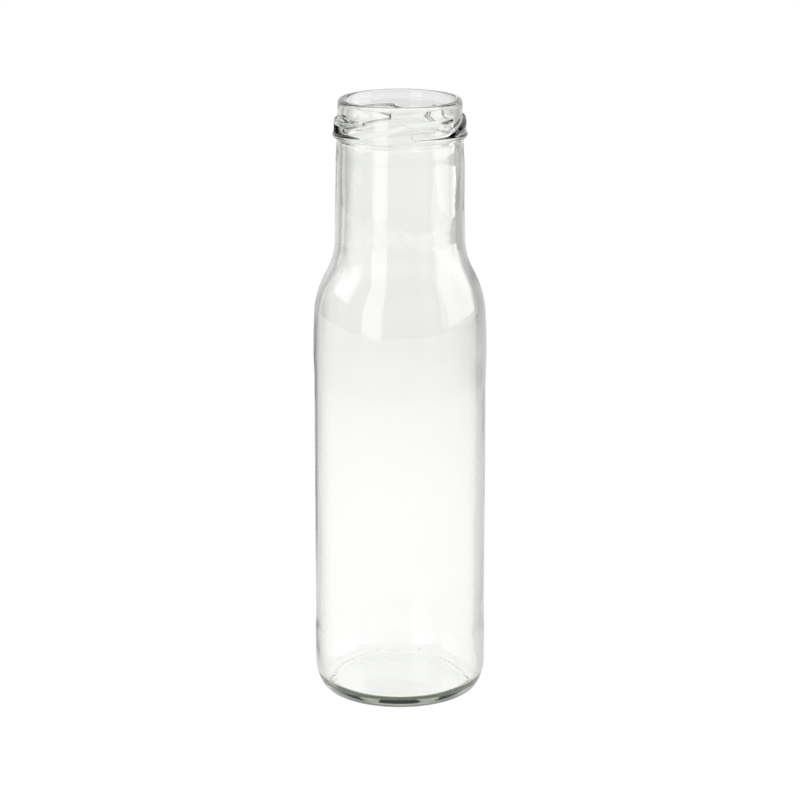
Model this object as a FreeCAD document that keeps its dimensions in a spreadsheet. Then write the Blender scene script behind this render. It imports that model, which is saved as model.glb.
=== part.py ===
"""Wide-mouth glass bottle with a four-lug twist-off finish.

Millimetres, +Z up, origin at the centre of the flat ring that the bottle stands on.
One piece of pressed and blown glass: a round body with a slightly sunk label panel,
a long shoulder, a short wide neck, a bead, and four inclined lugs below the lip.
"""
import FreeCAD, Part
import math
import os
import Sketcher

SIZES = {
    # whole bottle
    "overall_height": 192.5,
    "body_radius": 27.5,
    # heel and foot
    "heel_inset": 0.1,
    "heel_corner": 4.5,
    "heel_sweep": 15.5,
    "heel_height": 9.4,
    "heel_band_length": 11.1,
    "heel_step_length": 2.5,
    # label panel, a little inside the two bands that touch other bottles
    "panel_inset": 0.22,
    "panel_length": 79.5,
    "panel_step_length": 5.5,
    # shoulder, from the upper band to the neck
    "band_length": 4.0,
    "band_sweep": 210.0,
    "sweep_length": 12.9,
    "shoulder_round": 29.5,
    "shoulder_slope": 27.0,
    "shoulder_hollow": 21.5,
    # neck
    "neck_radius": 20.5,
    "neck_taper": 0.32,
    "lip_to_neck_top": 20.3,
    "lip_to_collar": 14.7,
    "collar_step": 0.45,
    # finish: lip, bead and lugs, measured down from the lip and out from the rim
    "rim_radius": 19.4,
    "lip_round": 1.3,
    "lip_to_bead": 11.0,
    "bead_proud": 1.65,
    "bead_round": 1.05,
    "bead_slope": 45.0,
    "lug_count": 4,
    "lug_proud": 1.25,
    "lug_tip_proud": 0.75,
    "lug_bury": 0.8,
    "lug_start": 48.0,
    "lip_to_lug_foot": 9.6,
    "lip_to_lug_top": 4.75,
    "lip_to_tip_top": 4.55,
    "lip_to_park": 8.05,
    "lip_to_tip_under": 6.0,
    "lug_stop_angle": 53.0,
    "lug_park_angle": 24.0,
    "lug_entry_angle": 22.0,
    "lug_top_slope": 0.75,
    "lug_under_slope": 0.3,
    # glass and inside
    "body_wall": 2.4,
    "neck_wall": 2.9,
    "lip_wall": 2.6,
    "bore_depth": 8.0,
    "bore_lip_round": 0.9,
    "base_glass": 3.7,
    "inside_corner": 7.0,
    "push_up": 3.0,
    "foot_inset": 7.0,
}

# Places that follow from the sizes above, as expressions on the sheet.
HEEL_RADIUS = "(Sizes.body_radius - Sizes.heel_inset)"
PANEL_RADIUS = "(Sizes.body_radius - Sizes.panel_inset)"
HEEL_TOP = "(Sizes.heel_height + Sizes.heel_band_length)"
PANEL_BOTTOM = f"({HEEL_TOP} + Sizes.heel_step_length)"
PANEL_TOP = f"({PANEL_BOTTOM} + Sizes.panel_length)"
BAND_BOTTOM = f"({PANEL_TOP} + Sizes.panel_step_length)"
BAND_TOP = f"({BAND_BOTTOM} + Sizes.band_length)"
SHOULDER_START = f"({BAND_TOP} + Sizes.sweep_length)"
NECK_TOP_RADIUS = "(Sizes.neck_radius - Sizes.neck_taper)"
NECK_TOP = "(Sizes.overall_height - Sizes.lip_to_neck_top)"
COLLAR_RADIUS = "(Sizes.rim_radius + Sizes.collar_step)"
COLLAR_BOTTOM = "(Sizes.overall_height - Sizes.lip_to_collar)"
BEAD_HEIGHT = "(Sizes.overall_height - Sizes.lip_to_bead)"
BEAD_CENTRE_RADIUS = "(Sizes.rim_radius + Sizes.bead_proud - Sizes.bead_round)"
BURIED_RADIUS = "(Sizes.rim_radius - Sizes.lug_bury)"
INSIDE_RADIUS = f"({PANEL_RADIUS} - Sizes.body_wall)"
NECK_INSIDE_RADIUS = "(Sizes.neck_radius - Sizes.neck_wall)"
BORE_RADIUS = "(Sizes.rim_radius - Sizes.lip_wall)"
BORE_FOOT = "(Sizes.overall_height - Sizes.bore_depth)"
FLOOR_HEIGHT = "(Sizes.push_up + Sizes.base_glass)"
FOOT_INNER_RADIUS = f"({HEEL_RADIUS} - Sizes.foot_inset)"
LUG_FOOT = "(Sizes.overall_height - Sizes.lip_to_lug_foot)"
LUG_TOP = "(Sizes.overall_height - Sizes.lip_to_lug_top)"
LUG_PARK = "(Sizes.overall_height - Sizes.lip_to_park)"
TIP_TOP = "(Sizes.overall_height - Sizes.lip_to_tip_top)"
TIP_UNDER = "(Sizes.overall_height - Sizes.lip_to_tip_under)"


def make_sheet(doc, sizes):
    """The spreadsheet that holds every driving size under its own name."""
    sheet = doc.addObject("Spreadsheet::Sheet", "Sizes")
    for row, (alias, value) in enumerate(sizes.items(), start=1):
        sheet.set(f"A{row}", alias)
        sheet.set(f"B{row}", str(value))
        sheet.setAlias(f"B{row}", alias)
    doc.recompute()
    return sheet


def origin_feature(body, role):
    """One of the body's own origin planes or axes."""
    return next(item for item in body.Origin.OriginFeatures if item.Role == role)


def polar(centre, radius, angle):
    """The point at an angle, in radians, on a circle."""
    return (centre[0] + radius * math.cos(angle), centre[1] + radius * math.sin(angle))


def dome_radius(reach, rise):
    """The radius of the arc that rises so much over half a chord."""
    return (reach ** 2 + rise ** 2) / (2 * rise)


class Outline:
    """A closed outline in one sketch, radius along x and height along y.

    Sizes are given as expressions on the sheet. Each is worked out once, to lay the
    edge in its place, and is then bound to the sketch, so the sheet keeps driving it.
    """

    def __init__(self, body, name):
        """An empty sketch on the body's upright plane."""
        self.sketch = body.newObject("Sketcher::SketchObject", name)
        self.sketch.AttachmentSupport = [(origin_feature(body, "XZ_Plane"), "")]
        self.sketch.MapMode = "FlatFace"

    def value(self, text):
        """The number that an expression on the sheet stands for."""
        return float(self.sketch.evalExpression(text))

    def line(self, start, end):
        """A straight edge between two points given as numbers."""
        edge = Part.LineSegment(FreeCAD.Vector(*start, 0), FreeCAD.Vector(*end, 0))
        return self.sketch.addGeometry(edge, False)

    def arc(self, centre, radius, first, last):
        """An arc that runs anticlockwise between two angles in radians."""
        circle = Part.Circle(FreeCAD.Vector(*centre, 0), FreeCAD.Vector(0, 0, 1), radius)
        return self.sketch.addGeometry(Part.ArcOfCircle(circle, first, last), False)

    def rule(self, *terms):
        """A geometric constraint, such as Tangent or Vertical."""
        return self.sketch.addConstraint(Sketcher.Constraint(*terms))

    def drive(self, text, *terms):
        """A dimension that follows an expression on the sheet."""
        number = self.value(text)
        if terms[0] == "Angle":
            number = math.radians(number)
        index = self.rule(*terms, number)
        self.sketch.setExpression(f"Constraints[{index}]", text)

    def place(self, edge, end, radius=None, height=None):
        """Hold one end of an edge at a radius, a height or both."""
        if radius:
            self.drive(radius, "DistanceX", -1, 1, edge, end)
        if height:
            self.drive(height, "DistanceY", -1, 1, edge, end)

    def polygon(self, corners):
        """A closed outline of straight edges through corners given as expressions."""
        points = [(self.value(radius), self.value(height)) for radius, height in corners]
        edges = [self.line(point, points[(i + 1) % len(points)])
                 for i, point in enumerate(points)]
        for i, edge in enumerate(edges):
            self.rule("Coincident", edge, 2, edges[(i + 1) % len(edges)], 1)
            self.place(edge, 1, *corners[i])
        return self.sketch

    def shoulder(self, body, neck, sweep, round_, hollow):
        """The chain from the straight body to the neck, each edge tangent to the next.

        body and neck are the two radii of this surface, sweep the very flat curve of the
        upper body, round_ and hollow the curves above it. Returns the first and last
        edge and the last edge's upper end.
        """
        start = self.value(BAND_TOP)
        rise = self.value("Sizes.sweep_length")
        slope = math.radians(self.value("Sizes.shoulder_slope"))
        sweep_r, round_r, hollow_r = (self.value(text) for text in (sweep, round_, hollow))
        flat_centre = (self.value(body) - sweep_r, start)
        lean = math.asin(rise / sweep_r)
        round_centre = polar(polar(flat_centre, sweep_r, lean), round_r, lean + math.pi)
        round_top = polar(round_centre, round_r, slope)
        hollow_x = self.value(neck) + hollow_r
        hollow_foot_x = hollow_x - hollow_r * math.cos(slope)
        run = (round_top[0] - hollow_foot_x) / math.tan(slope)
        hollow_centre = (hollow_x, round_top[1] + run + hollow_r * math.sin(slope))
        flat = self.arc(flat_centre, sweep_r, 0, lean)
        curve = self.arc(round_centre, round_r, lean, slope)
        straight = self.line(round_top, (hollow_foot_x, round_top[1] + run))
        inward = self.arc(hollow_centre, hollow_r, math.pi, math.pi + slope)
        self.rule("Tangent", flat, 2, curve, 1)
        self.rule("Tangent", curve, 2, straight, 1)
        self.rule("Tangent", straight, 2, inward, 2)
        for edge, text in ((flat, sweep), (curve, round_), (inward, hollow)):
            self.drive(text, "Radius", edge)
        self.drive("90 + Sizes.shoulder_slope", "Angle", straight)
        self.place(flat, 2, height=SHOULDER_START)
        self.place(inward, 1, radius=neck)
        return flat, inward, (self.value(neck), hollow_centre[1])


def outer_outline(body):
    """The outside of the glass, without bead, lugs and push-up."""
    out = Outline(body, "OuterOutline")
    corner_r = out.value("Sizes.heel_corner")
    sweep_r = out.value("Sizes.heel_sweep")
    heel = out.value("Sizes.heel_height")
    sweep_centre = (out.value(HEEL_RADIUS) - sweep_r, heel)
    drop = heel - corner_r
    reach = math.sqrt((sweep_r - corner_r) ** 2 - drop ** 2)
    turn = -math.atan2(drop, reach)
    corner_centre = (sweep_centre[0] + reach, corner_r)
    base = out.line((0, 0), (corner_centre[0], 0))
    corner = out.arc(corner_centre, corner_r, -math.pi / 2, turn)
    sweep = out.arc(sweep_centre, sweep_r, turn, 0)
    steps = [(HEEL_RADIUS, "Sizes.heel_height"), (HEEL_RADIUS, HEEL_TOP),
             (PANEL_RADIUS, PANEL_BOTTOM), (PANEL_RADIUS, PANEL_TOP),
             ("Sizes.body_radius", BAND_BOTTOM), ("Sizes.body_radius", BAND_TOP)]
    points = [(out.value(radius), out.value(height)) for radius, height in steps]
    wall = [out.line(low, high) for low, high in zip(points, points[1:])]
    flat, hollow, neck_foot = out.shoulder(
        "Sizes.body_radius", "Sizes.neck_radius", "Sizes.band_sweep",
        "Sizes.shoulder_round", "Sizes.shoulder_hollow")
    lip_r = out.value("Sizes.lip_round")
    rim_x = out.value("Sizes.rim_radius")
    collar_x = out.value(COLLAR_RADIUS)
    bead_z = out.value(BEAD_HEIGHT)
    height = out.value("Sizes.overall_height")
    neck_top = (out.value(NECK_TOP_RADIUS), out.value(NECK_TOP))
    collar = (collar_x, out.value(COLLAR_BOTTOM))
    neck = out.line(neck_foot, neck_top)
    taper = out.line(neck_top, collar)
    upright = out.line(collar, (collar_x, bead_z))
    ledge = out.line((collar_x, bead_z), (rim_x, bead_z))
    rim = out.line((rim_x, bead_z), (rim_x, height - lip_r))
    lip = out.arc((rim_x - lip_r, height - lip_r), lip_r, 0, math.pi / 2)
    top = out.line((rim_x - lip_r, height), (0, height))
    axis = out.line((0, height), (0, 0))

    out.rule("Coincident", base, 1, -1, 1)
    out.rule("Horizontal", base)
    out.rule("Tangent", base, 2, corner, 1)
    out.rule("Tangent", corner, 2, sweep, 1)
    out.rule("Tangent", sweep, 2, wall[0], 1)
    out.drive("Sizes.heel_corner", "Radius", corner)
    out.drive("Sizes.heel_sweep", "Radius", sweep)
    for low, high in zip(wall, wall[1:]):
        out.rule("Coincident", low, 2, high, 1)
    for edge, bottom, end in ((wall[0], steps[0], steps[1]), (wall[2], steps[2], steps[3]),
                              (wall[4], steps[4], steps[5])):
        out.rule("Vertical", edge)
        out.place(edge, 1, *bottom)
        out.place(edge, 2, height=end[1])
    out.rule("Tangent", wall[4], 2, flat, 1)
    out.rule("Tangent", hollow, 1, neck, 1)
    out.rule("Coincident", neck, 2, taper, 1)
    out.place(neck, 2, NECK_TOP_RADIUS, NECK_TOP)
    out.rule("Coincident", taper, 2, upright, 1)
    out.place(taper, 2, COLLAR_RADIUS, COLLAR_BOTTOM)
    out.rule("Vertical", upright)
    out.rule("Coincident", upright, 2, ledge, 1)
    out.place(upright, 2, height=BEAD_HEIGHT)
    out.rule("Horizontal", ledge)
    out.rule("Coincident", ledge, 2, rim, 1)
    out.rule("Vertical", rim)
    out.place(rim, 1, radius="Sizes.rim_radius")
    out.rule("Tangent", rim, 2, lip, 1)
    out.rule("Tangent", lip, 2, top, 1)
    out.drive("Sizes.lip_round", "Radius", lip)
    out.rule("Horizontal", top)
    out.rule("Coincident", top, 2, axis, 1)
    out.rule("Vertical", axis)
    out.rule("Coincident", axis, 2, -1, 1)
    out.place(top, 2, height="Sizes.overall_height")
    return out.sketch


def inside_outline(body):
    """The free space inside: domed floor, body, shoulder, neck and bore."""
    out = Outline(body, "InsideOutline")
    wall_x = out.value(INSIDE_RADIUS)
    floor_z = out.value(FLOOR_HEIGHT)
    corner_r = out.value("Sizes.inside_corner")
    lip_r = out.value("Sizes.bore_lip_round")
    bore_x = out.value(BORE_RADIUS)
    height = out.value("Sizes.overall_height")
    corner_centre = (wall_x - corner_r, out.value("Sizes.base_glass") + corner_r)
    dome_r = dome_radius(corner_centre[0], out.value("Sizes.push_up"))
    floor = out.arc((0, floor_z - dome_r), dome_r, math.acos(corner_centre[0] / dome_r),
                    math.pi / 2)
    corner = out.arc(corner_centre, corner_r, -math.pi / 2, 0)
    wall = out.line((wall_x, corner_centre[1]), (wall_x, out.value(BAND_TOP)))
    flat, hollow, neck_foot = out.shoulder(
        INSIDE_RADIUS, NECK_INSIDE_RADIUS, "Sizes.band_sweep - Sizes.body_wall",
        "Sizes.shoulder_round - Sizes.body_wall", "Sizes.shoulder_hollow + Sizes.neck_wall")
    bore_foot = (bore_x, out.value(BORE_FOOT))
    neck = out.line(neck_foot, bore_foot)
    bore = out.line(bore_foot, (bore_x, height - lip_r))
    lip = out.arc((bore_x + lip_r, height - lip_r), lip_r, math.pi / 2, math.pi)
    top = out.line((bore_x + lip_r, height), (0, height))
    axis = out.line((0, height), (0, floor_z))

    out.rule("PointOnObject", floor, 3, -2)
    out.rule("PointOnObject", floor, 2, -2)
    out.place(floor, 2, height=FLOOR_HEIGHT)
    out.rule("Coincident", floor, 1, corner, 1)
    out.place(corner, 1, height="Sizes.base_glass")
    out.rule("Vertical", corner, 3, corner, 1)
    out.drive("Sizes.inside_corner", "Radius", corner)
    out.rule("Tangent", corner, 2, wall, 1)
    out.rule("Vertical", wall)
    out.place(wall, 2, INSIDE_RADIUS, BAND_TOP)
    out.rule("Tangent", wall, 2, flat, 1)
    out.rule("Tangent", hollow, 1, neck, 1)
    out.rule("Coincident", neck, 2, bore, 1)
    out.place(neck, 2, BORE_RADIUS, BORE_FOOT)
    out.rule("Vertical", bore)
    out.rule("Tangent", bore, 2, lip, 2)
    out.rule("Tangent", lip, 1, top, 1)
    out.drive("Sizes.bore_lip_round", "Radius", lip)
    out.rule("Horizontal", top)
    out.rule("Coincident", top, 2, axis, 1)
    out.rule("Vertical", axis)
    out.place(top, 2, height="Sizes.overall_height")
    out.rule("Coincident", axis, 2, floor, 2)
    return out.sketch


def push_up_outline(body):
    """The shallow dome that is pushed up inside the foot ring."""
    out = Outline(body, "PushUpOutline")
    reach = out.value(FOOT_INNER_RADIUS)
    rise = out.value("Sizes.push_up")
    dome_r = dome_radius(reach, rise)
    dome = out.arc((0, rise - dome_r), dome_r, math.acos(reach / dome_r), math.pi / 2)
    axis = out.line((0, rise), (0, 0))
    base = out.line((0, 0), (reach, 0))
    out.rule("PointOnObject", dome, 3, -2)
    out.rule("Coincident", dome, 2, axis, 1)
    out.rule("Vertical", axis)
    out.place(axis, 1, height="Sizes.push_up")
    out.rule("Coincident", axis, 2, -1, 1)
    out.rule("Coincident", base, 1, -1, 1)
    out.rule("Horizontal", base)
    out.rule("Coincident", base, 2, dome, 1)
    out.place(base, 2, radius=FOOT_INNER_RADIUS)
    return out.sketch


def bead_outline(body):
    """The rounded ring under the lugs, with a sloping underside."""
    out = Outline(body, "BeadOutline")
    slope = math.radians(out.value("Sizes.bead_slope"))
    round_r = out.value("Sizes.bead_round")
    centre = (out.value(BEAD_CENTRE_RADIUS), out.value(BEAD_HEIGHT))
    root = out.value(BURIED_RADIUS)
    lower = polar(centre, round_r, -slope)
    foot = (root, lower[1] - (lower[0] - root) / math.tan(slope))
    crest = centre[1] + round_r
    nose = out.arc(centre, round_r, -slope, math.pi / 2)
    top = out.line((centre[0], crest), (root, crest))
    back = out.line((root, crest), foot)
    under = out.line(foot, lower)
    out.drive("Sizes.bead_round", "Radius", nose)
    out.place(nose, 3, BEAD_CENTRE_RADIUS, BEAD_HEIGHT)
    out.rule("Tangent", nose, 2, top, 1)
    out.rule("Horizontal", top)
    out.rule("Coincident", top, 2, back, 1)
    out.rule("Vertical", back)
    out.place(back, 1, radius=BURIED_RADIUS)
    out.rule("Coincident", back, 2, under, 1)
    out.rule("Tangent", under, 2, nose, 1)
    out.drive("Sizes.bead_slope", "Angle", under)
    return out.sketch


def lug_section(body, name, turn, under, top, proud):
    """One upright section through a lug, turned about the axis of the bottle.

    turn is its angle past the lug's start, under and top its lower and upper edge where it
    leaves the glass, and proud how far it stands out, all as expressions on the sheet.
    """
    out = Outline(body, name)
    crest = f"Sizes.rim_radius + {proud}"
    out.polygon([
        (BURIED_RADIUS, f"{under} - Sizes.lug_bury * Sizes.lug_under_slope"),
        (crest, f"{under} + {proud} * Sizes.lug_under_slope"),
        (crest, f"{top} - {proud} * Sizes.lug_top_slope"),
        (BURIED_RADIUS, f"{top} + Sizes.lug_bury * Sizes.lug_top_slope")])
    angle = f"Sizes.lug_start + {turn}"
    out.sketch.AttachmentOffset = FreeCAD.Placement(
        FreeCAD.Vector(), FreeCAD.Rotation(FreeCAD.Vector(0, 1, 0), out.value(angle)))
    out.sketch.setExpression("AttachmentOffset.Rotation.Angle", angle)
    return out.sketch


def add_loft(body, name, sections):
    """A solid stretched through upright sections, in order round the axis."""
    loft = body.newObject("PartDesign::AdditiveLoft", name)
    loft.Profile = sections[0]
    loft.Sections = sections[1:]
    return loft


def between(low, high, share):
    """The expression for a value a share of the way from one to another."""
    return f"({low} * {1 - share} + {high} * {share})"


def lug_ramp(body, steps=4):
    """The thick lower half of a lug, which climbs out of the bead and ends in the stop."""
    sections = [
        lug_section(body, f"RampSection{i}", f"{i / steps} * Sizes.lug_stop_angle",
                    BEAD_HEIGHT, between(LUG_FOOT, LUG_TOP, i / steps), "Sizes.lug_proud")
        for i in range(steps + 1)]
    return add_loft(body, "LugRamp", sections)


def lug_ridge(body):
    """The thin upper half, which a cap's lug slides under: level at first, then rising."""
    park_end = "Sizes.lug_stop_angle + Sizes.lug_park_angle"
    rows = [("Sizes.lug_stop_angle - Sizes.lug_park_angle / 4", LUG_PARK, LUG_TOP,
             "Sizes.lug_proud"),
            ("Sizes.lug_stop_angle + Sizes.lug_park_angle / 3", LUG_PARK, LUG_TOP,
             "Sizes.lug_proud"),
            (park_end, between(LUG_PARK, TIP_UNDER, 0.1), between(LUG_TOP, TIP_TOP, 0.1),
             "Sizes.lug_proud"),
            (f"{park_end} + Sizes.lug_entry_angle / 2", between(LUG_PARK, TIP_UNDER, 0.6),
             between(LUG_TOP, TIP_TOP, 0.65), "Sizes.lug_proud"),
            (f"{park_end} + Sizes.lug_entry_angle", TIP_UNDER, TIP_TOP,
             "Sizes.lug_tip_proud")]
    sections = [lug_section(body, f"RidgeSection{i}", *row) for i, row in enumerate(rows)]
    return add_loft(body, "LugRidge", sections)


def add_turned(doc, body, kind, name, sketch):
    """A full turn of a sketch about the axis of the bottle, added or cut away."""
    feature = body.newObject(kind, name)
    feature.Profile = sketch
    feature.ReferenceAxis = (sketch, ["V_Axis"])
    feature.Angle = 360
    doc.recompute()
    return feature


def add_lugs(doc, body):
    """The lugs, evenly round the finish."""
    originals = [lug_ramp(body), lug_ridge(body)]
    doc.recompute()
    lugs = body.newObject("PartDesign::PolarPattern", "Lugs")
    lugs.Originals = originals
    lugs.Axis = (origin_feature(body, "Z_Axis"), [""])
    lugs.Angle = 360
    lugs.setExpression("Occurrences", "Sizes.lug_count")
    body.Tip = lugs
    doc.recompute()


def make_bottle(doc):
    """The whole bottle, as one body."""
    body = doc.addObject("PartDesign::Body", "Bottle")
    body.Label = "bottle"
    add_turned(doc, body, "PartDesign::Revolution", "OuterForm", outer_outline(body))
    add_turned(doc, body, "PartDesign::Revolution", "Bead", bead_outline(body))
    add_lugs(doc, body)
    add_turned(doc, body, "PartDesign::Groove", "Inside", inside_outline(body))
    add_turned(doc, body, "PartDesign::Groove", "PushUp", push_up_outline(body))
    return body


def check(doc, pieces):
    """Stop if an object failed, a sketch is loose or a piece isn't one valid solid."""
    for item in doc.Objects:
        if "Invalid" in item.State or "Error" in item.State:
            raise RuntimeError(f"{item.Name} failed: {item.State}")
        if item.TypeId == "Sketcher::SketchObject" and not item.FullyConstrained:
            raise RuntimeError(f"{item.Name} isn't fully constrained")
    for piece in pieces:
        shape = piece.Shape
        if shape.isNull() or not shape.isValid() or len(shape.Solids) != 1:
            raise RuntimeError(f"{piece.Label} isn't one valid solid")


def main():
    """Build the document and write one STEP file for each piece."""
    doc = FreeCAD.newDocument("WideMouthBottle")
    make_sheet(doc, SIZES)
    pieces = [make_bottle(doc)]
    check(doc, pieces)
    os.makedirs("parts", exist_ok=True)
    for piece in pieces:
        piece.Shape.exportStep(os.path.join("parts", f"{piece.Label}.step"))
        glass = piece.Shape.Volume / 1000
        print(f"{piece.Label}: {piece.Shape.BoundBox.ZLength:.1f} mm high, {glass:.1f} ml of glass")


main()
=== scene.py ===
"""Looks of a clear wide-mouth glass bottle: its thick pressed glass, lugs, bead and studio."""

import logging
import math
from dataclasses import dataclass, field
from enum import Enum
from typing import Any

import bpy
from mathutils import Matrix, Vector


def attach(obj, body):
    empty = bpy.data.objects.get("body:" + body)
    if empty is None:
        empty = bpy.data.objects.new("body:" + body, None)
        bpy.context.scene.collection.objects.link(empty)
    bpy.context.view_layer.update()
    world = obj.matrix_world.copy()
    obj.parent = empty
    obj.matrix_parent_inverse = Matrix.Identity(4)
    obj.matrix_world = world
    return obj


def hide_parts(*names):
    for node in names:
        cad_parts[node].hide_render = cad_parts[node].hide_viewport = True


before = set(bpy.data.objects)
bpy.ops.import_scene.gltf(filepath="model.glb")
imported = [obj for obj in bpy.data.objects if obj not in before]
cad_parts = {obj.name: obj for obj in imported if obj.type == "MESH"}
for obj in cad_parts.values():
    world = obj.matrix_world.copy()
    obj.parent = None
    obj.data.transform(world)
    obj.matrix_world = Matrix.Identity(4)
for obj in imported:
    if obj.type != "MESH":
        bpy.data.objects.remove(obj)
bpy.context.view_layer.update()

MM = 0.001
WHITE = (1.0, 1.0, 1.0, 1.0)
SAME_ROW_MM = 1e-4
WELD_METRES = 1e-6
# A ray that went through one wall crossed two faces of glass, and through two walls four.
ONE_WALL = (3.1, 2.9)
log = logging.getLogger("bottle")


class Skin(Enum):
    """Which side of the glass a row of the outline lies on."""

    OUTSIDE = 0.0
    INSIDE = 1.0


# ---------------------------------------------------------------- node helpers


class Tree:
    """A node tree, with one way to add a node to it."""

    def __init__(self, nodes: Any, links: Any) -> None:
        """Keep the tree's nodes and links."""
        self.nodes = nodes
        self.links = links

    def node(self, kind: str, settings: dict | None = None, values: dict | None = None) -> Any:
        """Add a node.

        Args:
            kind: the node's type.
            settings: properties to set first, such as a Math node's operation.
            values: socket name or number to a plain value, a socket or a Value.

        Returns:
            The new node.
        """
        made = self.nodes.new(kind)
        for name, setting in (settings or {}).items():
            setattr(made, name, setting)
        for key, value in (values or {}).items():
            self.feed(made.inputs[key], value)
        return made

    def feed(self, socket: Any, value: Any) -> None:
        """Link or set one input socket.

        Args:
            socket: the input socket.
            value: a plain value, an output socket or a Value.
        """
        if isinstance(value, Value):
            value = value.socket
        if isinstance(value, bpy.types.NodeSocket):
            self.links.new(value, socket)
        else:
            socket.default_value = value

    def value(self, kind: str, output: Any = 0, settings: dict | None = None,
              values: dict | None = None) -> "Value":
        """Add a node and return one of its outputs as a Value."""
        return Value(self, self.node(kind, settings, values).outputs[output])

    def xyz(self, vector: Any) -> tuple["Value", "Value", "Value"]:
        """The three parts of a vector."""
        parts = self.node("ShaderNodeSeparateXYZ", values={0: vector})
        return tuple(Value(self, part) for part in parts.outputs)

    def vector(self, x: Any, y: Any, z: Any) -> "Value":
        """A vector from three parts."""
        return self.value("ShaderNodeCombineXYZ", values={0: x, 1: y, 2: z})


class Value:
    """A number that a node tree works out, used in ordinary Python sums."""

    def __init__(self, tree: Tree, socket: Any) -> None:
        """Wrap one output socket."""
        self.tree = tree
        self.socket = socket

    def math(self, operation: str, *others: Any) -> "Value":
        """Add a Math node that starts from this value."""
        return self._sum(operation, self, *others)

    def _sum(self, operation: str, *terms: Any) -> "Value":
        """Add a Math node on the terms in their order."""
        return self.tree.value("ShaderNodeMath", settings={"operation": operation},
                               values=dict(enumerate(terms)))

    def __add__(self, other: Any) -> "Value":
        """self + other"""
        return self._sum("ADD", self, other)

    def __radd__(self, other: Any) -> "Value":
        """other + self"""
        return self._sum("ADD", other, self)

    def __sub__(self, other: Any) -> "Value":
        """self - other"""
        return self._sum("SUBTRACT", self, other)

    def __rsub__(self, other: Any) -> "Value":
        """other - self"""
        return self._sum("SUBTRACT", other, self)

    def __mul__(self, other: Any) -> "Value":
        """self * other"""
        return self._sum("MULTIPLY", self, other)

    def __rmul__(self, other: Any) -> "Value":
        """other * self"""
        return self._sum("MULTIPLY", other, self)

    def __truediv__(self, other: Any) -> "Value":
        """self / other"""
        return self._sum("DIVIDE", self, other)

    def __rtruediv__(self, other: Any) -> "Value":
        """other / self"""
        return self._sum("DIVIDE", other, self)

    def __mod__(self, other: Any) -> "Value":
        """self % other, never negative"""
        return self._sum("FLOORED_MODULO", self, other)

    def __abs__(self) -> "Value":
        """abs(self)"""
        return self._sum("ABSOLUTE", self)

    def least(self, other: Any, soft: float = 0.0) -> "Value":
        """The smaller of two, rounded off where they meet."""
        return self._sum("SMOOTH_MIN", self, other, soft)

    def most(self, other: Any, soft: float = 0.0) -> "Value":
        """The larger of two, rounded off where they meet."""
        return self._sum("SMOOTH_MAX", self, other, soft)

    def step(self, low: float, high: float) -> "Value":
        """A smooth step.

        Args:
            low: where the curve is 0.
            high: where it is 1, which may be below low.

        Returns:
            0 up to low, 1 past high and a smooth curve between.
        """
        if low > high:
            return 1.0 - self.step(high, low)
        return self.tree.value("ShaderNodeMapRange", settings={"interpolation_type": "SMOOTHSTEP"},
                               values={"Value": self, "From Min": low, "From Max": high})


# ---------------------------------------------------------------- outline


@dataclass
class Outline:
    """Rows of the turned glass in order, each a radius and a height in mm and its skin."""

    rows: list[tuple[float, float, Skin]] = field(default_factory=list)
    skin: Skin = Skin.OUTSIDE

    def point(self, radius: float, height: float) -> None:
        """Add one row, unless it repeats the last.

        Args:
            radius: distance from the axis.
            height: height over the table.
        """
        if self.rows and math.dist(self.rows[-1][:2], (radius, height)) < SAME_ROW_MM:
            return
        self.rows.append((radius, height, self.skin))

    def line(self, radius: float, height: float, step: float) -> None:
        """Add rows along a straight run from the last row.

        Args:
            radius: radius where the run ends.
            height: height where it ends.
            step: about how far apart the rows are.
        """
        start = self.rows[-1]
        count = max(1, round(math.dist(start[:2], (radius, height)) / step))
        for i in range(1, count + 1):
            share = i / count
            self.point(start[0] + (radius - start[0]) * share,
                       start[1] + (height - start[1]) * share)

    def ease(self, radius: float, height: float, count: int) -> None:
        """Add rows along a gentle S-curve from the last row.

        Args:
            radius: radius where the curve ends.
            height: height where it ends.
            count: how many rows it gets.
        """
        start = self.rows[-1]
        for i in range(1, count + 1):
            share = i / count
            turn = share * share * (3 - 2 * share)
            self.point(start[0] + (radius - start[0]) * turn,
                       start[1] + (height - start[1]) * share)

    def arc(self, centre: tuple[float, float], radius: float, first: float, last: float,
            count: int) -> None:
        """Add rows along an arc.

        Args:
            centre: radius and height of its centre.
            radius: the arc's own radius.
            first: angle of its start, in degrees from the outward direction.
            last: angle of its end.
            count: how many steps it gets.
        """
        for i in range(count + 1):
            angle = math.radians(first + (last - first) * i / count)
            self.point(centre[0] + radius * math.cos(angle), centre[1] + radius * math.sin(angle))


def soft_most(first: float, second: float, soft: float) -> float:
    """The larger of two numbers, rounded off where they meet."""
    blend = max(soft - abs(first - second), 0.0) / soft
    return max(first, second) + blend ** 3 * soft / 6.0


def dome_height(place: float, reach: float, rise: float) -> float:
    """Height of a shallow dome over its edge at a distance from the axis, negative beyond it."""
    radius = (reach ** 2 + rise ** 2) / (2 * rise)
    return rise - radius + math.sqrt(radius ** 2 - place ** 2)


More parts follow.
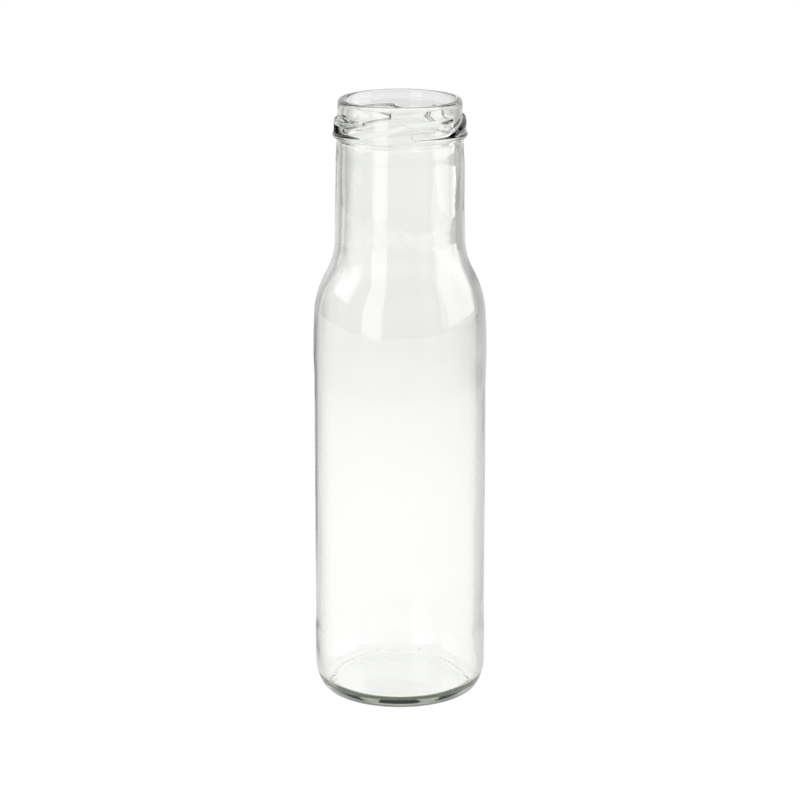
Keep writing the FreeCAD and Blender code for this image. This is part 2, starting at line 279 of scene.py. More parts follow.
@dataclass
class Chain:
    """The run from the body up to the neck, each stretch tangent to the next.

    It starts at body and start with a very flat arc, rise high and of radius sweep. A convex
    arc, a straight run that leans by slope degrees and a concave arc follow, up to neck.
    """

    body: float
    neck: float
    start: float
    rise: float
    sweep: float
    round_: float
    hollow: float
    slope: float
    counts: tuple[int, int, int]
    run_step: float = 1.2

    def rows(self) -> list[tuple[float, float]]:
        """Work out the rows.

        Returns:
            The rows as (radius, height) pairs, from the bottom up.
        """
        lean = math.degrees(math.asin(self.rise / self.sweep))
        part = Outline()
        part.arc((self.body - self.sweep, self.start), self.sweep, 0.0, lean, self.counts[0])
        top = part.rows[-1]
        angle = math.radians(lean)
        centre = (top[0] - self.round_ * math.cos(angle), top[1] - self.round_ * math.sin(angle))
        part.arc(centre, self.round_, lean, self.slope, self.counts[1])
        top = part.rows[-1]
        angle = math.radians(self.slope)
        foot = self.neck + self.hollow - self.hollow * math.cos(angle)
        run = (top[0] - foot) / math.tan(angle)
        part.line(foot, top[1] + run, self.run_step)
        centre = (self.neck + self.hollow, top[1] + run + self.hollow * math.sin(angle))
        part.arc(centre, self.hollow, 180.0 + self.slope, 180.0, self.counts[2])
        return [row[:2] for row in part.rows]


# ---------------------------------------------------------------- parts of the bottle


@dataclass
class Foot:
    """The foot ring, its push-up and the heel."""

    radius: float = 27.4
    corner: float = 4.5
    sweep: float = 15.5
    height: float = 9.4
    inset: float = 7.0
    push_up: float = 2.0
    soft: float = 0.6
    base_rows: int = 16
    corner_rows: int = 12
    sweep_rows: int = 9

    def outline(self, outline: Outline) -> None:
        """Add the rows from the axis out over the foot and up the heel.

        Args:
            outline: takes the rows.
        """
        drop = self.height - self.corner
        reach = math.sqrt((self.sweep - self.corner) ** 2 - drop ** 2)
        turn = -math.degrees(math.atan2(drop, reach))
        corner = (self.radius - self.sweep + reach, self.corner)
        lift = self._base(corner[0])
        for i in range(self.base_rows + 1):
            place = corner[0] * math.sqrt(i / self.base_rows)
            outline.point(place, self._base(place) - lift)
        outline.arc(corner, self.corner, -90.0, turn, self.corner_rows)
        outline.arc((self.radius - self.sweep, self.height), self.sweep, turn, 0.0,
                    self.sweep_rows)

    def _base(self, place: float) -> float:
        """Height of the underside at a distance from the axis."""
        ring = self.radius - self.inset
        return soft_most(dome_height(place, ring, self.push_up), 0.0, self.soft)


@dataclass
class Wall:
    """The straight body: the heel band, the sunk label panel and the upper band."""

    radius: float = 27.5
    heel_band_top: float = 20.5
    panel_inset: float = 0.22
    panel_bottom: float = 23.0
    panel_top: float = 100.0
    band_bottom: float = 111.5
    band_top: float = 112.0
    row_step: float = 5.0
    band_step: float = 2.0
    lower_rows: int = 4
    upper_rows: int = 8

    def outline(self, outline: Outline) -> None:
        """Add the rows from the heel band to the upper band.

        Args:
            outline: takes the rows.
        """
        panel = self.radius - self.panel_inset
        outline.line(outline.rows[-1][0], self.heel_band_top, self.row_step)
        outline.ease(panel, self.panel_bottom, self.lower_rows)
        outline.line(panel, self.panel_top, self.row_step)
        outline.ease(self.radius, self.band_bottom, self.upper_rows)
        outline.line(self.radius, self.band_top, self.band_step)


@dataclass
class Shoulder:
    """The long shoulder and the short wide neck."""

    sweep: float = 210.0
    sweep_length: float = 12.9
    round_: float = 29.5
    slope: float = 27.0
    hollow: float = 21.5
    neck_radius: float = 20.5
    neck_top_radius: float = 20.18
    neck_top: float = 172.2
    neck_step: float = 5.0
    arc_rows: tuple[int, int, int] = (4, 9, 9)

    def outline(self, outline: Outline, wall: Wall) -> None:
        """Add the rows from the upper band to the top of the neck.

        Args:
            outline: takes the rows.
            wall: the body below.
        """
        chain = Chain(body=wall.radius, neck=self.neck_radius, start=wall.band_top,
                      rise=self.sweep_length, sweep=self.sweep, round_=self.round_,
                      hollow=self.hollow, slope=self.slope, counts=self.arc_rows)
        for row in chain.rows():
            outline.point(*row)
        outline.line(self.neck_top_radius, self.neck_top, self.neck_step)


@dataclass
class Finish:
    """The bead and the lip above it, and the zone that the lugs stand in."""

    collar: float = 19.85
    collar_foot: float = 177.8
    rim: float = 19.4
    bead_height: float = 181.5
    bead_proud: float = 1.65
    bead_round: float = 1.05
    bead_fillet: float = 0.45
    bead_nose: float = 45.0
    lip_round: float = 1.3
    lug_zone: float = 188.4
    lug_step: float = 0.14
    collar_step: float = 0.8
    ledge_step: float = 0.3
    rim_step: float = 1.5
    collar_rows: int = 5
    root_rows: int = 3
    bead_rows: int = 12
    crest_rows: int = 4
    lip_rows: int = 6

    def outline(self, outline: Outline, top: float) -> None:
        """Add the rows from the neck to the crown of the lip.

        Args:
            outline: takes the rows.
            top: height of the lip.
        """
        outline.ease(self.collar, self.collar_foot, self.collar_rows)
        centre = self.rim + self.bead_proud - self.bead_round
        fillet = self.bead_fillet
        nose = math.radians(self.bead_nose)
        low = (centre + self.bead_round * math.cos(nose),
               self.bead_height - self.bead_round * math.sin(nose))
        root = low[1] - (low[0] - self.collar) / math.tan(nose) - fillet * math.tan(nose / 2)
        outline.line(self.collar, root, self.collar_step)
        outline.arc((self.collar + fillet, root), fillet, 180.0, 180.0 - self.bead_nose,
                    self.root_rows)
        outline.arc((centre, self.bead_height), self.bead_round, -self.bead_nose, 90.0,
                    self.bead_rows)
        crest = self.bead_height + self.bead_round
        outline.line(self.rim + fillet, crest, self.ledge_step)
        outline.arc((self.rim + fillet, crest + fillet), fillet, 270.0, 180.0, self.crest_rows)
        outline.line(self.rim, self.lug_zone, self.lug_step)
        outline.line(self.rim, top - self.lip_round, self.rim_step)
        outline.arc((self.rim - self.lip_round, top - self.lip_round), self.lip_round, 0.0, 90.0,
                    self.lip_rows)


@dataclass
class Hollow:
    """The inside of the glass: bore, neck, shoulder, wall and floor."""

    bore: float = 16.8
    bore_depth: float = 8.0
    lip_round: float = 0.9
    neck: float = 17.6
    wall: float = 24.88
    corner: float = 3.5
    floor_edge: float = 3.3
    rise: float = 2.5
    soft: float = 1.6
    wall_glass: float = 2.4
    neck_glass: float = 2.9
    row_step: float = 5.0
    bore_step: float = 3.0
    neck_step: float = 3.5
    lip_rows: int = 5
    arc_rows: tuple[int, int, int] = (3, 8, 8)
    floor_rows: int = 18
    crowding: float = 0.55

    def outline(self, outline: Outline, top: float, wall: Wall, shoulder: Shoulder) -> None:
        """Add the rows from the crown of the lip down to the middle of the floor.

        Args:
            outline: takes the rows.
            top: height of the lip.
            wall: the body outside.
            shoulder: the shoulder and neck outside.
        """
        outline.skin = Skin.INSIDE
        outline.arc((self.bore + self.lip_round, top - self.lip_round), self.lip_round,
                    90.0, 180.0, self.lip_rows)
        outline.line(self.bore, top - self.bore_depth, self.bore_step)
        chain = Chain(body=self.wall, neck=self.neck, start=wall.band_top,
                      rise=shoulder.sweep_length, sweep=shoulder.sweep - self.wall_glass,
                      round_=shoulder.round_ - self.wall_glass,
                      hollow=shoulder.hollow + self.neck_glass, slope=shoulder.slope,
                      counts=self.arc_rows)
        rows = chain.rows()
        outline.line(*rows[-1], self.neck_step)
        for row in reversed(rows):
            outline.point(*row)
        outline.line(self.wall, self.floor_edge + self.corner, self.row_step)
        for i in range(1, self.floor_rows):
            angle = math.pi / 2 * (i / self.floor_rows)
            place = self.wall * math.cos(angle) ** self.crowding
            outline.point(place, self._floor(place))
        outline.point(0.0, self._floor(0.0))

    def _floor(self, place: float) -> float:
        """Height of the floor and its corner at a distance from the axis.

        Args:
            place: distance from the axis.

        Returns:
            The height.
        """
        reach = self.wall - self.corner
        sunk = self.corner ** 2 - max(place - reach, 0.0) ** 2
        corner = self.floor_edge + self.corner - math.sqrt(sunk)
        floor = self.floor_edge + dome_height(place, reach, self.rise)
        return soft_most(corner, floor, self.soft)


@dataclass
class Lugs:
    """The inclined lugs that hold a twist-off cap, all from one rule.

    Angles are in degrees past a lug's start, and heights are in mm. Each lug is a ramp that
    climbs from foot to top before stop, and a ridge that hangs free from there to end.
    """

    count: int = 4
    start: float = 48.0
    proud: float = 1.25
    tip_proud: float = 0.75
    foot: float = 182.9
    top: float = 187.75
    tip_top: float = 187.95
    park: float = 184.45
    tip_under: float = 186.5
    stop: float = 53.0
    end: float = 99.0
    entry: float = 75.0
    thin_from: float = 88.0
    overlap: float = 6.0
    ramp_lead: float = 12.0
    ridge_lead: float = -35.0
    top_slope: float = 0.9
    under_slope: float = 0.4
    end_slope: float = 0.6
    rounding: float = 0.4
    crest_soft: float = 0.3
    bead_soft: float = 0.05
    entry_soft: float = 0.15
    thin_soft: float = 0.2
    join_soft: float = 0.25

    def proud_at(self, angle: Value, height: Value, finish: Finish) -> Value:
        """How far the glass stands out of the rim, in mm, negative where there is no lug.

        Args:
            angle: degrees round the bottle.
            height: height in mm.
            finish: the finish that the lugs stand on.

        Returns:
            The rule's value at that angle and height.
        """
        arc = math.radians(1.0) * finish.rim
        ramp = self._ramp(self._past(angle, self.ramp_lead), height, arc, finish.bead_height)
        ridge = self._ridge(self._past(angle, self.ridge_lead), height, arc)
        return ramp.most(ridge, self.join_soft)

    def _past(self, angle: Value, lead: float) -> Value:
        """Degrees past the start of a lug, counted from lead before it."""
        return (angle - self.start + lead) % (360.0 / self.count) - lead

    def _ramp(self, past: Value, height: Value, arc: float, bead: float) -> Value:
        """The part that climbs from the bead.

        Args:
            past: degrees past the lug's start.
            height: height in mm.
            arc: length of one degree round the rim.
            bead: height of the bead.

        Returns:
            How far it stands out.
        """
        climb = (self.top - self.foot) / self.stop
        crest = (past * climb + self.foot).least(self.top, self.crest_soft)
        ramp = ((crest - height) / self.top_slope).least(self.proud, self.rounding)
        ramp = ramp.least((self.stop - past) * (arc / self.under_slope), self.rounding)
        return ramp.least((height - bead) / self.under_slope + self.proud, self.bead_soft)

    def _ridge(self, past: Value, height: Value, arc: float) -> Value:
        """The part that a cap's claw slides under.

        Args:
            past: degrees past the lug's start.
            height: height in mm.
            arc: length of one degree round the rim.

        Returns:
            How far it stands out.
        """
        opening = ((past - self.entry) / (self.end - self.entry)).most(0.0, self.entry_soft)
        under = opening * (self.tip_under - self.park) + self.park
        rise = (self.tip_top - self.top) / (self.end - self.stop)
        crest = (past - self.stop) * rise + self.top
        thin = ((past - self.thin_from) / (self.end - self.thin_from)).most(0.0, self.thin_soft)
        reach = self.proud - thin * (self.proud - self.tip_proud)
        ridge = ((crest - height) / self.top_slope).least(reach, self.rounding)
        ridge = ridge.least((height - under) / self.under_slope, self.rounding)
        ridge = ridge.least((self.end - past) * (arc / self.end_slope), self.rounding)
        return ridge.least((past - self.stop + self.overlap) * (arc / self.end_slope),
                           self.rounding)


@dataclass(frozen=True)
class ClearGlass:
    """Flint glass: nearly colourless, a little green where the light goes a long way."""

    name: str = "clear_glass"
    index: float = 1.52
    tint: tuple = (0.26, 0.34, 0.185, 1.0)
    depth: float = 26.0
    # The next four set the painted shade on the outline: how dark, at which facing, and how it
    # fades on the neck.
    edge: float = 0.7
    edge_shade_facing: tuple[float, float] = (0.4, 0.9)
    edge_shade_fade: tuple[float, float] = (140.0, 150.0)
    neck_edge_shade: float = 0.5
    ripple_scale: float = 55.0
    chill_scale: float = 240.0
    chill: float = 0.15
    bump: float = 0.18
    bump_depth: float = 0.0006
    scuff_across: float = 260.0
    scuff_along: float = 1400.0
    scuff_share: tuple[float, float] = (0.56, 0.72)
    scuff: float = 0.05
    heel_band: tuple[float, float] = (19.5, 17.5)
    upper_band: tuple[float, float, float, float] = (107.0, 109.0, 118.0, 114.0)

    def material(self) -> Any:
        """Build the material.

        Returns:
            The finished material.
        """
        made = bpy.data.materials.new(self.name)
        made.use_nodes = True
        made.node_tree.nodes.clear()
        tree = Tree(made.node_tree.nodes, made.node_tree.links)
        place = tree.node("ShaderNodeTexCoord").outputs["Object"]
        shader = tree.node("ShaderNodeBsdfPrincipled", values={
            # Painted shade: the base colour darkens where the surface turns away, to draw the
            # glass's dark outline.
            "Base Color": 1.0 - self._painted_edge_shade(tree, place) * self.edge,
            "Roughness": self._rough(tree, place), "IOR": self.index,
            "Transmission Weight": 1.0, "Normal": self._waves(tree, place)})
        body = tree.node("ShaderNodeVolumeAbsorption",
                         values={"Color": self.tint, "Density": self.depth})
        tree.node("ShaderNodeOutputMaterial", values={
            "Surface": shader.outputs["BSDF"], "Volume": body.outputs["Volume"]})
        return made

    def _waves(self, tree: Tree, place: Any) -> Any:
        """The gentle ripple and chill marks of pressed glass, as a bumped normal.

        Args:
            tree: the material's tree.
            place: Object coordinates.

        Returns:
            The normal's socket.
        """
        ripple = tree.value("ShaderNodeTexNoise", "Fac", values={
            "Vector": place, "Scale": self.ripple_scale, "Detail": 1.5})
        chill = tree.value("ShaderNodeTexNoise", "Fac", values={
            "Vector": place, "Scale": self.chill_scale, "Detail": 2.0})
        bump = tree.node("ShaderNodeBump", values={
            "Strength": self.bump, "Distance": self.bump_depth,
            "Height": ripple + chill * self.chill})
        return bump.outputs["Normal"]

    def _rough(self, tree: Tree, place: Any) -> Value:
        """Fine scuffs on the two bands that touch other bottles.

        Args:
            tree: the material's tree.
            place: Object coordinates.

        Returns:
            The roughness.
        """
        x, y, z = tree.xyz(place)
        spot = tree.vector(x * self.scuff_across, y * self.scuff_across, z * self.scuff_along)
        grain = tree.value("ShaderNodeTexNoise", "Fac",
                           values={"Vector": spot, "Scale": 1.0, "Detail": 3.0})
        height = z / MM
        upper = height.step(*self.upper_band[:2]) * height.step(*self.upper_band[2:])
        bands = height.step(*self.heel_band) + upper
        return bands * grain.step(*self.scuff_share) * self.scuff

    def _painted_edge_shade(self, tree: Tree, place: Any) -> Value:
        """Painted shade: how much the base colour darkens along the outline, on the outside skin
        and less so on the neck.

        Args:
            tree: the material's tree.
            place: Object coordinates.

        Returns:
            The share, from 0 to 1.
        """
        facing = tree.value("ShaderNodeLayerWeight", "Facing", values={"Blend": 0.5})
        skin = tree.value("ShaderNodeAttribute", "Fac", {"attribute_name": "skin"})
        height = tree.xyz(place)[2] / MM
        neck = height.step(*self.edge_shade_fade) * self.neck_edge_shade
        return facing.step(*self.edge_shade_facing) * (1.0 - skin) * (1.0 - neck)


@dataclass
class Bottle:
    """The whole bottle, turned from one outline by a Geometry Nodes tree."""

    foot: Foot = field(default_factory=Foot)
    wall: Wall = field(default_factory=Wall)
    shoulder: Shoulder = field(default_factory=Shoulder)
    finish: Finish = field(default_factory=Finish)
    hollow: Hollow = field(default_factory=Hollow)
    lugs: Lugs = field(default_factory=Lugs)
    glass: ClearGlass = field(default_factory=ClearGlass)
    height: float = 192.5
    segments: int = 396
    lug_soft: float = 0.3
    dots: int = 66
    dot_depth: float = 0.13
    dot_ring: float = 21.4
    dot_across: tuple[float, float] = (1.0, 0.5)
    foot_heights: tuple[float, float] = (0.6, 0.1)
    foot_from: tuple[float, float] = (19.6, 20.4)
    wander: float = 0.22
    wander_across: float = 1.6
    wander_along: float = 0.035
    wander_zone: tuple[float, float, float, float] = (8.0, 16.0, 182.0, 172.0)
    off_centre: float = 0.45
    off_centre_zone: tuple[float, float, float, float] = (6.0, 14.0, 142.0, 128.0)
    seed: float = 7.0

    def outline(self) -> Outline:
        """Join the parts' rows.

        Returns:
            The rows of the whole section, from under the foot to the inside floor.
        """
        rows = Outline()
        self.foot.outline(rows)
        self.wall.outline(rows)
        self.shoulder.outline(rows, self.wall)
        self.finish.outline(rows, self.height)
        self.hollow.outline(rows, self.height, self.wall, self.shoulder)
        return rows

    def section(self) -> Any:
        """A mesh of loose points, one for each row, that carries its skin.

        Returns:
            The object that the tree turns into the bottle.
        """
        rows = self.outline().rows
        mesh = bpy.data.meshes.new("section")
        mesh.from_pydata([(radius, 0.0, height) for radius, height, _ in rows], [], [])
        skin = mesh.attributes.new("skin", "FLOAT", "POINT")
        skin.data.foreach_set("value", [row[2].value for row in rows])
        made = bpy.data.objects.new("bottle_glass", mesh)
        bpy.context.collection.objects.link(made)
        log.info("outline of %d rows", len(rows))
        return made

    def tree(self, material: Any) -> tuple[Any, dict[str, str]]:
        """Build the tree that turns the section round the axis.

        Args:
            material: the glass.

        Returns:
            The node group and its inputs' identifiers by name.
        """
        group = bpy.data.node_groups.new("turned_bottle", "GeometryNodeTree")
        sockets = {}
        group.interface.new_socket("Geometry", in_out="INPUT", socket_type="NodeSocketGeometry")
        for name, kind in (("Segments", "Int"), ("Foot Dots", "Int"), ("Dot Depth", "Float"),
                           ("Wander", "Float"), ("Off Centre", "Float"), ("Seed", "Float")):
            item = group.interface.new_socket(name, in_out="INPUT",
                                              socket_type=f"NodeSocket{kind}")
            sockets[name] = item.identifier
        group.interface.new_socket("Geometry", in_out="OUTPUT", socket_type="NodeSocketGeometry")
        tree = Tree(group.nodes, group.links)
        inputs = tree.node("NodeGroupInput")
        given = {name: Value(tree, inputs.outputs[name]) for name in sockets}
        section = inputs.outputs["Geometry"]

        size = tree.node("GeometryNodeAttributeDomainSize", {"component": "MESH"},
                         {"Geometry": section})
        count = Value(tree, size.outputs["Point Count"])
        grid = tree.node("GeometryNodeMeshGrid", values={
            "Vertices X": given["Segments"] + 1, "Vertices Y": count})
        index = tree.value("GeometryNodeInputIndex")
        row = index % count
        column = ((index + 0.5) / count).math("FLOOR")
        place = tree.value("GeometryNodeSampleIndex", settings={"data_type": "FLOAT_VECTOR"},
                           values={"Geometry": section, "Index": row,
                                   "Value": tree.node("GeometryNodeInputPosition").outputs[0]})
        skin = tree.node("GeometryNodeInputNamedAttribute", {"data_type": "FLOAT"},
                         {"Name": "skin"})
        inside = tree.value("GeometryNodeSampleIndex", settings={"data_type": "FLOAT"},
                            values={"Geometry": section, "Index": row,
                                    "Value": skin.outputs["Attribute"]})
        radius, _, height = tree.xyz(place)
        turn = column / given["Segments"]
        radius = self._with_lugs(radius, height, turn * 360.0, inside)
        height = height + self._dots(radius, height, turn, inside, given)
        x, y = self._wandering(tree, radius, height, turn * math.tau, inside, given)
        spot = tree.vector(x * MM, y * MM, height * MM)
        moved = tree.node("GeometryNodeSetPosition", values={
            "Geometry": grid.outputs["Mesh"], "Position": spot})
        marked = tree.node("GeometryNodeStoreNamedAttribute", {"data_type": "FLOAT"}, {
            "Geometry": moved.outputs[0], "Name": "skin", "Value": inside})
        closed = tree.node("GeometryNodeMergeByDistance", values={
            "Geometry": marked.outputs[0], "Distance": WELD_METRES})
        smooth = tree.node("GeometryNodeSetShadeSmooth", values={"Geometry": closed.outputs[0]})
        real = tree.node("GeometryNodeRealizeInstances", values={"Geometry": smooth.outputs[0]})
        dressed = tree.node("GeometryNodeSetMaterial", values={
            "Geometry": real.outputs[0], "Material": material})
        tree.node("NodeGroupOutput", values={"Geometry": dressed.outputs[0]})
        return group, sockets

    def _with_lugs(self, radius: Value, height: Value, degrees: Value, inside: Value) -> Value:
        """The radius with the lugs standing out of the rim, on the outside only.

        Args:
            radius: radius in mm without lugs.
            height: height in mm.
            degrees: angle round the axis.
            inside: 1 on the inside skin.

        Returns:
            The radius in mm.
        """
        lug = self.lugs.proud_at(degrees, height, self.finish) + self.finish.rim
        lug = lug - inside * self.finish.rim
        return radius.most(lug, self.lug_soft)

    def _dots(self, radius: Value, height: Value, turn: Value, inside: Value,
              given: dict[str, Value]) -> Value:
        """How far the glass between the dots of the foot ring is lifted off the table.

        Args:
            radius: radius in mm.
            height: height in mm.
            turn: share of a whole turn.
            inside: 1 on the inside skin.
            given: the tree's inputs.

        Returns:
            The lift in mm.
        """
        ring = height.step(*self.foot_heights) * radius.step(*self.foot_from) * (1.0 - inside)
        wave = (turn * given["Foot Dots"] * math.tau).math("COSINE") * 0.5 + 0.5
        across = abs(radius - self.dot_ring).step(*self.dot_across)
        return ring * given["Dot Depth"] * (1.0 - wave * across)

    def _wandering(self, tree: Tree, radius: Value, height: Value, angle: Value, inside: Value,
                   given: dict[str, Value]) -> tuple[Value, Value]:
        """Where a point lies across the bottle, with the inside's uneven glass.

        Args:
            tree: the tree.
            radius: radius in mm.
            height: height in mm.
            angle: angle round the axis in radians.
            inside: 1 on the inside skin.
            given: the tree's inputs.

        Returns:
            The two places across, in mm.
        """
        east, north = angle.math("COSINE"), angle.math("SINE")
        spot = tree.vector(east * self.wander_across, north * self.wander_across,
                           height * self.wander_along)
        noise = tree.value("ShaderNodeTexNoise", 0, settings={"noise_dimensions": "4D"}, values={
            "Vector": spot, "W": given["Seed"], "Scale": 1.0, "Detail": 1.0})
        zone = inside * height.step(*self.wander_zone[:2]) * height.step(*self.wander_zone[2:])
        bulge = (noise - 0.5) * 2.0 * given["Wander"] * zone
        shift = given["Off Centre"] * inside * height.step(*self.off_centre_zone[:2])
        shift = shift * height.step(*self.off_centre_zone[2:])
        return (radius + bulge) * east - shift, (radius + bulge) * north

    def build(self) -> Any:
        """Make the bottle's mesh, dress it and hand it to the frame.

        Returns:
            The finished piece.
        """
        material = self.glass.material()
        piece = self.section()
        group, sockets = self.tree(material)
        modifier = piece.modifiers.new("turned_bottle", "NODES")
        modifier.node_group = group
        given = {"Segments": self.segments, "Foot Dots": self.dots, "Dot Depth": self.dot_depth,
                 "Wander": self.wander, "Off Centre": self.off_centre, "Seed": self.seed}
        for name, value in given.items():
            modifier[sockets[name]] = value
        graph = bpy.context.evaluated_depsgraph_get()
        mesh = bpy.data.meshes.new_from_object(piece.evaluated_get(graph))
        piece.modifiers.remove(modifier)
        section = piece.data
        piece.data = mesh
        mesh.name = "bottle_glass"
        bpy.data.meshes.remove(section)
        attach(piece, "root")
        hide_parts("bottle")
        log.info("bottle_glass: %d points, %d faces", len(mesh.vertices), len(mesh.polygons))
        return piece


# ---------------------------------------------------------------- studio


@dataclass(frozen=True)
class Camera:
    """A long lens a little above the bottle, looking slightly down."""

    eye: tuple[float, float, float] = (0.0, -0.89736131, 0.34158699)
    pitch: float = 0.26754
    lens: float = 131.61
    sensor: float = 36.0
    nearest: float = 0.01
    farthest: float = 50.0

    def build(self) -> None:
        """Make the scene's camera."""
        data = bpy.data.cameras.new("camera")
        data.lens = self.lens
        data.sensor_width = self.sensor
        data.clip_start = self.nearest
        data.clip_end = self.farthest
        made = bpy.data.objects.new("camera", data)
        made.location = self.eye
        made.rotation_euler = (math.pi / 2 - self.pitch, 0.0, 0.0)
        bpy.context.collection.objects.link(made)
        bpy.context.scene.camera = made
        log.info("camera")


@dataclass(frozen=True)
class Surroundings:
    """Where round the bottle it is bright, dim or black.

    Bearings are in degrees round from the backdrop behind the bottle. An opening is its
    middle, and how far either side of it the light starts and ends to fade.
    """

    openings: tuple = ((-2.5, 10.5, 29.5), (-45.0, 4.0, 9.0),
                       (-90.0, 6.0, 14.0), (135.0, 6.0, 14.0))
    dimness: float = 0.42
    backdrop: tuple[float, float] = (0.92, 0.84)
    flag_edges: tuple[float, float, float, float] = (-20.0, -26.0, -42.0, -35.0)

    def light(self, x: Value, y: Value, share: Any = 1.0) -> Value:
        """What is left of the light, less where the room is dim.

        Args:
            x: place across.
            y: place towards the backdrop.
            share: how much of the dimness counts there.

        Returns:
            The factor.
        """
        bearing = self._bearing(x, y)
        aside = [abs(bearing - middle).step(near, far) for middle, near, far in self.openings]
        dim = aside[0]
        for other in aside[1:]:
            dim = dim.least(other)
        return 1.0 - dim * share * self.dimness

    def behind(self, x: Value, y: Value) -> Value:
        """1 towards the white backdrop behind the bottle."""
        return abs(y.math("ARCTAN2", x) - math.pi / 2).step(*self.backdrop)

    def flag(self, x: Value, y: Value) -> Value:
        """1 towards a narrow dark patch painted into the table's glow for reflections, which
        stands in for a black flag and draws the bottle's left edge as a painted dark reflection.
        """
        bearing = self._bearing(x, y)
        return bearing.step(*self.flag_edges[:2]) * bearing.step(*self.flag_edges[2:])

    @staticmethod
    def _bearing(x: Value, y: Value) -> Value:
        """Degrees round from the backdrop, to the right."""
        return x.math("ARCTAN2", y) * math.degrees(1.0)


@dataclass(frozen=True)
class Rays:
    """What kind of ray looks at the table or the room."""

    camera: Value
    passed: Value
    once: Value

    @staticmethod
    def of(tree: Tree) -> "Rays":
        """Read the ray's kind.

        Args:
            tree: the material's or world's tree.

        Returns:
            1 for a ray straight from the camera, for one that went through glass, and for
            one that went through no more than one wall.
        """
        path = tree.node("ShaderNodeLightPath")
        faces = Value(tree, path.outputs["Transmission Depth"])
        return Rays(Value(tree, path.outputs["Is Camera Ray"]),
                    Value(tree, path.outputs["Is Transmission Ray"]), faces.step(*ONE_WALL))

    def mix(self, seen: Any, through: Value, mirror: Value) -> Value:
        """One strength out of three.

        Args:
            seen: strength straight from the camera.
            through: strength through glass.
            mirror: strength in reflections and for light on the table.

        Returns:
            The strength.
        """
        other = self.passed * through + (1.0 - self.passed) * mirror
        return self.camera * seen + (1.0 - self.camera) * other


@dataclass(frozen=True)
class Table:
    """A round white table whose light fades a little away from the bottle.

    Distances are from the axis, in metres, and in mm for the shadow where the heel meets the
    table. Each fade is where it starts, where it ends and what it adds to the light.
    """

    radius: float = 6.0
    corners: int = 96
    white: float = 1.1
    seen: float = 1.12
    matt_share: float = 0.12
    matt: tuple = (0.9, 0.9, 0.9, 1.0)
    fades: tuple = ((0.15, 0.5, -0.11), (0.6, 0.9, 0.07), (1.02, 1.06, -0.1), (1.4, 1.8, 0.1))
    dim_from: tuple[float, float] = (0.3, 0.75)
    once_loss: float = 0.15
    room_edge: tuple[float, float] = (0.84, 0.86)
    room_loss: float = 0.92
    flag_reach: tuple[float, float, float, float] = (0.1, 0.2, 0.75, 0.45)
    painted_flag_loss: float = 0.8
    contact_in: tuple[float, float] = (21.7, 22.3)
    contact_out: tuple[float, float] = (26.0, 24.0)
    contact_front: tuple[float, float] = (3.0, -5.0)
    contact_loss: float = 0.85
    contact_tint: tuple = (0.8, 1.0, 0.55, 1.0)

    def build(self, around: Surroundings) -> None:
        """Make the table.

        Args:
            around: what stands round the bottle.
        """
        mesh = bpy.data.meshes.new("table")
        ring = [(self.radius * math.cos(math.tau * i / self.corners),
                 self.radius * math.sin(math.tau * i / self.corners), 0.0)
                for i in range(self.corners)]
        mesh.from_pydata(ring, [], [list(range(self.corners))])
        made = bpy.data.objects.new("table", mesh)
        bpy.context.collection.objects.link(made)
        mesh.materials.append(self._material(around))
        log.info("table")

    def _material(self, around: Surroundings) -> Any:
        """White that glows by how it is looked at, and takes a faint shadow.

        Args:
            around: what stands round the bottle.

        Returns:
            The material.
        """
        material = bpy.data.materials.new("table_white")
        material.use_nodes = True
        material.node_tree.nodes.clear()
        tree = Tree(material.node_tree.nodes, material.node_tree.links)
        x, y, _ = tree.xyz(tree.node("ShaderNodeTexCoord").outputs["Object"])
        far = (x * x + y * y).math("SQRT")
        rays = Rays.of(tree)
        contact = self._contact(far, y, rays)
        through = 1.0
        for near, distant, change in self.fades:
            through = far.step(near, distant) * change + through
        through = through * self.white * around.light(x, y, far.step(*self.dim_from))
        through = through * (1.0 - contact * self.contact_loss)
        through = through * (1.0 - rays.once * self.once_loss)
        sides = far.step(*self.room_edge) * (1.0 - around.behind(x, y))
        reach = far.step(*self.flag_reach[:2]) * far.step(*self.flag_reach[2:])
        mirror = 1.0 - sides * self.room_loss
        # Painted shade: a dark patch in the table's glow for reflected rays, standing in for a
        # black flag.
        mirror = mirror * (1.0 - around.flag(x, y) * reach * self.painted_flag_loss)
        tinge = tree.node("ShaderNodeMix", {"data_type": "RGBA"}, {
            "Factor": contact, 6: WHITE, 7: self.contact_tint})
        glow = tree.node("ShaderNodeEmission", values={
            "Color": tinge.outputs[2], "Strength": rays.mix(self.seen, through, mirror)})
        matt = tree.node("ShaderNodeBsdfDiffuse", values={"Color": self.matt})
        share = tree.node("ShaderNodeMixShader", values={
            0: rays.camera * self.matt_share, 1: glow.outputs[0], 2: matt.outputs[0]})
        tree.node("ShaderNodeOutputMaterial", values={"Surface": share.outputs[0]})
        return material

    def _contact(self, far: Value, y: Value, rays: Rays) -> Value:
        """The shadow under the front of the heel, as it shows through the glass.

        Args:
            far: distance from the axis in metres.
            y: place towards the backdrop.
            rays: the kind of ray.

        Returns:
            1 in the shadow.
        """
        distance = far / MM
        under = distance.step(*self.contact_in).most(rays.once) * distance.step(*self.contact_out)
        return under * (y / MM).step(*self.contact_front) * rays.passed


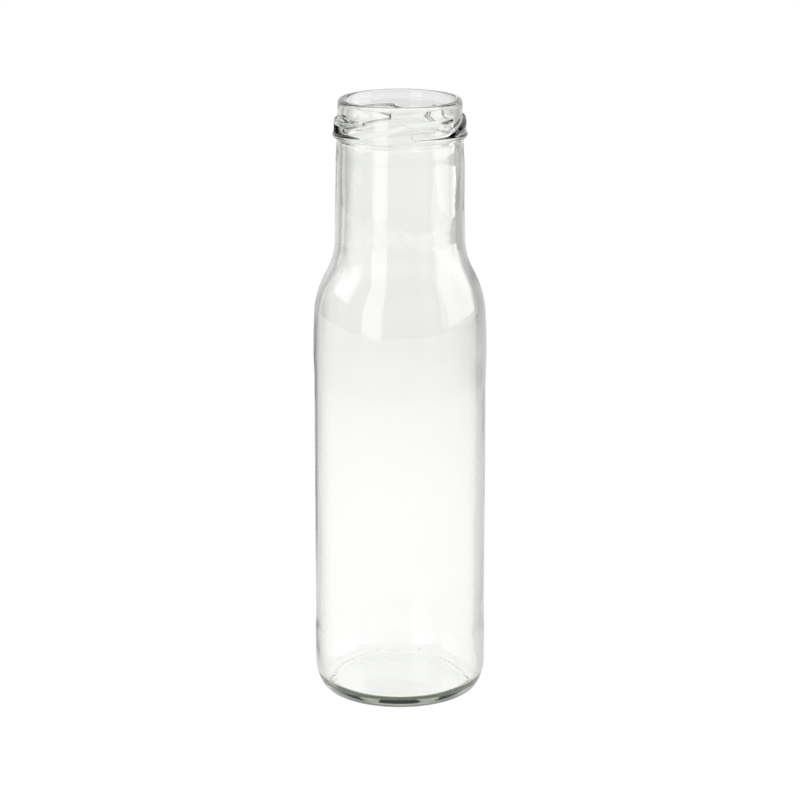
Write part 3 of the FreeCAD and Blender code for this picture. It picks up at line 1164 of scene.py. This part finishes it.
@dataclass(frozen=True)
class Room:
    """White behind the bottle, a dim room above and beside it."""

    white: float = 1.1
    wall: float = 0.95
    ceiling: tuple[float, float] = (0.5, 0.62)
    ceiling_loss: float = 0.65
    dark: float = 0.08
    backdrop: float = 0.9
    backdrop_top: tuple[float, float] = (0.6, 0.5)

    def build(self, around: Surroundings) -> None:
        """Make the world.

        Args:
            around: what stands round the bottle.
        """
        world = bpy.data.worlds.new("room")
        bpy.context.scene.world = world
        world.use_nodes = True
        world.node_tree.nodes.clear()
        tree = Tree(world.node_tree.nodes, world.node_tree.links)
        x, y, z = tree.xyz(tree.node("ShaderNodeTexCoord").outputs["Generated"])
        through = (self.wall - z.step(*self.ceiling) * self.ceiling_loss) * self.white
        through = through * around.light(x, y)
        mirror = around.behind(x, y) * z.step(*self.backdrop_top) * self.backdrop + self.dark
        glow = Rays.of(tree).mix(1.0, through, mirror)
        back = tree.node("ShaderNodeBackground", values={"Color": WHITE, "Strength": glow})
        tree.node("ShaderNodeOutputWorld", values={"Surface": back.outputs[0]})
        log.info("room")


@dataclass(frozen=True)
class Softbox:
    """A tall lamp that faces the bottle, in metres and watts.

    The bearing is in degrees round from the camera's side, to the right.
    """

    name: str
    bearing: float
    width: float
    power: float
    distance: float = 0.82
    height: float = 1.1
    middle: float = 0.555

    def build(self) -> None:
        """Make the lamp."""
        lamp = bpy.data.lights.new(self.name, "AREA")
        lamp.shape = "RECTANGLE"
        lamp.size = self.width
        lamp.size_y = self.height
        lamp.energy = self.power
        made = bpy.data.objects.new(self.name, lamp)
        angle = math.radians(self.bearing)
        made.location = (self.distance * math.sin(angle), -self.distance * math.cos(angle),
                         self.middle)
        aim = Vector((0.0, 0.0, self.middle)) - Vector(made.location)
        made.rotation_euler = aim.to_track_quat("-Z", "Y").to_euler()
        bpy.context.collection.objects.link(made)
        log.info("lamp %s", self.name)


@dataclass
class Studio:
    """White table, room, softboxes and camera."""

    camera: Camera = field(default_factory=Camera)
    around: Surroundings = field(default_factory=Surroundings)
    table: Table = field(default_factory=Table)
    room: Room = field(default_factory=Room)
    lamps: tuple[Softbox, ...] = (
        Softbox("softbox_left", bearing=-36.5, width=0.405, power=2.0),
        Softbox("softbox_right", bearing=97.0, width=0.985, power=5.0),
        Softbox("window", bearing=-97.0, width=0.92, power=2.25, distance=1.3, height=0.58,
                middle=0.76),
    )
    glass_bounces: int = 24
    glossy_bounces: int = 16

    def build(self) -> None:
        """Make the camera, table, room and lamps, and set how light travels."""
        self.camera.build()
        self.table.build(self.around)
        self.room.build(self.around)
        for lamp in self.lamps:
            lamp.build()
        scene = bpy.context.scene
        scene.view_settings.view_transform = "Standard"
        scene.cycles.max_bounces = self.glass_bounces
        scene.cycles.transmission_bounces = self.glass_bounces
        scene.cycles.glossy_bounces = self.glossy_bounces
        scene.cycles.caustics_reflective = True
        scene.cycles.caustics_refractive = True
        log.info("studio ready")


def main() -> None:
    """Build the bottle and its studio."""
    logging.basicConfig(level=logging.INFO, format="%(message)s")
    Bottle().build()
    Studio().build()


if __name__ == "__main__":
    main()
